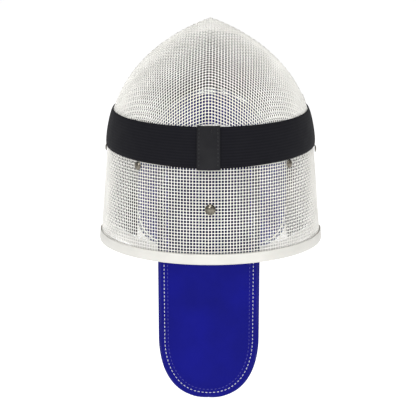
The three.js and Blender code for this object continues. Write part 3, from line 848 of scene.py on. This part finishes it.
def add_tongue_stitches(tongue):
    """Two rows of stitching follow the edge on the outside, laid on the swollen pad."""
    surface_tree = BVHTree.FromObject(tongue, bpy.context.evaluated_depsgraph_get())
    for name, inset, material in (("tongue_stitches", STITCH["inset"], PALE_THREAD),
                                  ("tongue_inner_stitches", STITCH["second"], BLUE_THREAD)):
        line = tongue_frame(inset)
        path = []
        for x, depth in line:
            start = Vector((x, RAY_START, APEX_Z - depth))
            hit = surface_tree.ray_cast(start, Vector((0, -1, 0)))[0]
            if hit is not None:
                path.append(hit)
        add_stitches(name, [np.array(path)], (0, 1, 0), material, STITCH["radius"])


def swell(piece, cap):
    """Blows a pad up with cloth pressure. Points move outwards only, up to the cap, and are then smoothed."""
    bpy.context.view_layer.objects.active = piece
    rest = np.zeros(len(piece.data.vertices) * 3)
    piece.data.vertices.foreach_get("co", rest)
    outward = np.zeros(len(rest))
    piece.data.vertices.foreach_get("normal", outward)
    outward = outward.reshape(-1, 3)
    cloth = piece.modifiers.new("cloth", "CLOTH")
    cloth.settings.use_pressure = True
    cloth.settings.uniform_pressure_force = SWELL["pressure"]
    cloth.settings.effector_weights.gravity = 0
    cloth.settings.tension_stiffness = SWELL["stiffness"]
    cloth.settings.compression_stiffness = SWELL["stiffness"]
    for step in range(1, SWELL["steps"] + 1):
        bpy.context.scene.frame_set(step)
    bpy.ops.object.modifier_apply(modifier=cloth.name)
    bpy.context.scene.frame_set(1)
    blown = np.zeros(len(rest))
    piece.data.vertices.foreach_get("co", blown)
    move = (blown - rest).reshape(-1, 3)
    rise = (move * outward).sum(-1, keepdims=True)
    move = outward * np.clip(rise, 0, cap)
    piece.data.vertices.foreach_set("co", (rest.reshape(-1, 3) + move).ravel())
    settle = piece.modifiers.new("settle", "SMOOTH")
    settle.factor = SWELL["smooth"]
    settle.iterations = SWELL["rounds"]
    bpy.ops.object.modifier_apply(modifier=settle.name)
    fine = piece.modifiers.new("fine", "SUBSURF")
    fine.levels = fine.render_levels = 1
    bpy.ops.object.modifier_apply(modifier=fine.name)


# ---- lining, piping and crown pad ----

def outline_point(shape, turn, grow):
    c, s = np.cos(turn), np.sin(turn)
    power = np.where(s >= 0, shape["up_power"], shape["down_power"])
    tall = np.where(s >= 0, shape["up"], shape["down"]) + grow
    x = (shape["x"] + grow) * np.sign(c) * np.abs(c) ** (2 / power)
    return x, shape["middle"] - tall * np.sign(s) * np.abs(s) ** (2 / power)


def add_lining():
    turn = np.linspace(0, 2 * math.pi, LINING["steps"] + 1)[:-1, None]
    part = np.concatenate([np.linspace(0, 0.12, 4), np.linspace(0.2, 0.8, 10), np.linspace(0.88, 1, 4)])
    out_x, out_depth = outline_point(LINING_OUTLINE, turn, 0)
    hole_x, hole_depth = outline_point(LINING_WINDOW, turn, 0)
    x = hole_x + (out_x - hole_x) * part
    depth = hole_depth + (out_depth - hole_depth) * part
    near = MESH_HALF + LINING["gap"]
    full = np.sqrt(np.clip(np.minimum(part, 1 - part) / LINING["full_share"], 0, 1))
    thick = LINING["edge"] + (LINING["thick"] - LINING["edge"]) * full
    outer = inside_face(x, depth, np.full(x.shape, near))
    inner = inside_face(x, depth, near + thick + 0 * x)
    points, faces = padded_sheet(outer, inner, closed=True)
    lining = make_piece("lining_pad", points, faces, LINING_CLOTH, replaces=("face_lining",))
    face_outwards(lining)
    swell(lining, LINING["swell"])


def closed_cord(name, path, radius, material, replaces):
    """A round cord along a closed path, its section carried round without twisting."""
    path = np.asarray(path)
    ahead = np.roll(path, -1, axis=0) - np.roll(path, 1, axis=0)
    ahead /= np.linalg.norm(ahead, axis=-1, keepdims=True)
    away = path * np.array([1, 1, 0])
    away /= np.linalg.norm(away, axis=-1, keepdims=True)
    across = np.cross(ahead, away)
    across /= np.linalg.norm(across, axis=-1, keepdims=True)
    up = np.cross(across, ahead)
    turn = np.arange(CORD_SIDES) * 2 * math.pi / CORD_SIDES
    sections = path[:, None] + radius * (
        across[:, None] * np.cos(turn)[:, None] + up[:, None] * np.sin(turn)[:, None])
    lofted(name, sections, material, True, replaces)


def add_piping():
    turn = np.linspace(0, 2 * math.pi, PIPING["steps"] + 1)[:-1]
    x, depth = outline_point(LINING_OUTLINE, turn, PIPING["out"])
    near = MESH_HALF + LINING["gap"] + PIPING["radius"]
    path = inside_face(x, depth, np.full(x.shape, near))
    closed_cord("piping_cord", path, PIPING["radius"], PIPING_CLOTH, ("lining_piping",))


def pad_low(angle):
    """The crown pad's lower edge: over the lining's arch, and down beside the lining to the jaw."""
    x = np.sin(angle) * shoulder_reach(angle)
    half = LINING_OUTLINE["x"] + CROWN_PAD["margin"]
    power = LINING_OUTLINE["up_power"]
    arch = np.clip(1 - np.abs(x / half) ** power, 0, 1) ** (1 / power)
    over = LINING_OUTLINE["middle"] - (LINING_OUTLINE["up"] + CROWN_PAD["margin"]) * arch
    return np.where(np.abs(x) >= half, rim_depth(angle) - CROWN_PAD["side_rise"], over)


def add_crown_pad():
    angle = np.radians(np.linspace(CROWN_PAD["from"], CROWN_PAD["to"], CROWN_PAD["columns"]))
    row = np.linspace(0, 1, CROWN_PAD["rows"])[:, None]
    depth = CROWN_PAD["top"] + (pad_low(angle) - CROWN_PAD["top"]) * row
    near = MESH_HALF + CROWN_PAD["gap"]
    full = np.clip(np.minimum(row, 1 - row) / CROWN_PAD["edge_share"], 0, 1) + 0 * depth
    thick = CROWN_PAD["thick"] * (CROWN_PAD["edge"] + (1 - CROWN_PAD["edge"]) * np.sqrt(full))
    outer = on_wall(angle + 0 * depth, depth, np.full(depth.shape, -near))
    inner = on_wall(angle + 0 * depth, depth, -near - thick)
    points, faces = padded_sheet(outer, inner)
    pad = make_piece("brow_pad", points, faces, NAVY_CLOTH, replaces=("crown_pad",))
    face_outwards(pad)


# ---- rivets ----

def add_dome(name, angle, depth, foot, radius, tall, material, replaces):
    """A domed head on a thin flange, set square on the wall."""
    seat = on_wall(angle, depth, foot)
    out = normal_at(angle, run_at_depth(angle, depth))
    side = np.cross(out, (0, 0, 1))
    side /= np.linalg.norm(side)
    up = np.cross(side, out)
    turn = np.linspace(0, 2 * math.pi, DOME_SIDES + 1)[:-1, None]
    ring = np.cos(turn) * side + np.sin(turn) * up
    sections = np.stack([seat + ring * (max(r, DOME_HUB) * radius) + out * (z * tall) for r, z in DOME])
    lofted(name, sections, material, False, replaces)


def add_rivets():
    for name, (angle, depth, radius, tall) in RIVETS.items():
        foot = MESH_HALF + GAP + RIVET_LIFT
        add_dome(f"{name}_head", math.radians(angle), depth, foot, radius, tall, NICKEL, (name,))


# ---- camera, lights and floor ----

def add_camera():
    elevation, azimuth = math.radians(CAMERA["elevation"]), math.radians(CAMERA["azimuth"])
    back = Vector((math.sin(azimuth) * math.cos(elevation), math.cos(azimuth) * math.cos(elevation),
                   math.sin(elevation)))
    camera = bpy.data.objects.new("camera", bpy.data.cameras.new("camera"))
    camera.data.lens = CAMERA["lens"]
    camera.data.sensor_width = CAMERA["sensor"]
    camera.data.clip_end = CAMERA["sees_to"]
    camera.location = Vector(CAMERA["aim"]) + back * CAMERA["distance"]
    camera.rotation_euler = (-back).to_track_quat("-Z", "Y").to_euler()
    bpy.context.scene.collection.objects.link(camera)
    bpy.context.scene.camera = camera


def add_light(name, at, size, power):
    light = bpy.data.lights.new(name, "AREA")
    light.size = size
    light.energy = power
    lamp = bpy.data.objects.new(name, light)
    lamp.location = at
    lamp.rotation_euler = (Vector(LIGHT_AIM) - Vector(at)).to_track_quat("-Z", "Y").to_euler()
    bpy.context.scene.collection.objects.link(lamp)


def add_floor():
    mesh = bpy.data.meshes.new("floor")
    size, low = FLOOR["half"], float(cad_low[2]) - FLOOR["below"]
    mesh.from_pydata([(-size, -size, low), (size, -size, low), (size, size, low), (-size, size, low)], [],
                     [(0, 1, 2, 3)])
    floor = bpy.data.objects.new("floor", mesh)
    shader = Shader("floor", Roughness=0.9, Base_Color=(*[FLOOR["grey"]] * 3, 1), Emission_Color=(1, 1, 1, 1),
                    Emission_Strength=FLOOR["glow"])
    shader.span(shader.noise(2, 2), 0.85, 0.95, "Roughness")
    mesh.materials.append(shader.material)
    bpy.context.scene.collection.objects.link(floor)


def add_stage():
    add_camera()
    add_floor()
    world = bpy.data.worlds.new("studio")
    world.use_nodes = True
    nodes, links = world.node_tree.nodes, world.node_tree.links
    nodes["Background"].inputs["Color"].default_value = (1, 1, 1, 1)
    direction = nodes.new("ShaderNodeTexCoord")
    height = nodes.new("ShaderNodeSeparateXYZ")
    fade = nodes.new("ShaderNodeMapRange")
    fade.inputs["From Min"].default_value, fade.inputs["From Max"].default_value = SKY["fade"]
    fade.inputs["To Min"].default_value, fade.inputs["To Max"].default_value = SKY["horizon"], SKY["above"]
    links.new(direction.outputs["Generated"], height.inputs["Vector"])
    links.new(height.outputs["Z"], fade.inputs["Value"])
    links.new(fade.outputs["Result"], nodes["Background"].inputs["Strength"])
    bpy.context.scene.world = world
    bpy.context.scene.view_settings.view_transform = "Standard"
    for name, light in LIGHTS.items():
        add_light(name, **light)


WIRE = wire_material()
BINDING = binding_material()
# The third colour is the painted shade on the tongue's part inside the mask.
TONGUE_VINYL = vinyl_material(
    "blue_vinyl", (0.001, 0.0015, 0.135), (0.0018, 0.0025, 0.19), (0.001, 0.0015, 0.045))
LINING_CLOTH = cloth_material("blue_lining", (0.001, 0.002, 0.08), (0.002, 0.004, 0.15))
NAVY_CLOTH = cloth_material("navy_cloth", (0.001, 0.0015, 0.006), (0.003, 0.004, 0.014))
PIPING_CLOTH = cloth_material("piping_cloth", (0.05, 0.055, 0.12), (0.09, 0.10, 0.19))
ELASTIC = elastic_material()
LEATHER = leather_material()
NICKEL = nickel_material()
PALE_THREAD = thread_material("pale_thread", (0.42, 0.43, 0.50), (0.66, 0.67, 0.74))
BLUE_THREAD = thread_material("blue_thread", (0.014, 0.014, 0.22), (0.05, 0.05, 0.34))
BLACK_THREAD = thread_material("black_thread", (0.005, 0.005, 0.007), (0.012, 0.012, 0.015))

add_stage()
add_crown_net()
add_rear_net()
add_rim_binding()
add_joint_strips()
add_strap()
add_keeper()
add_tongue()
add_lining()
add_piping()
add_crown_pad()
add_rivets()
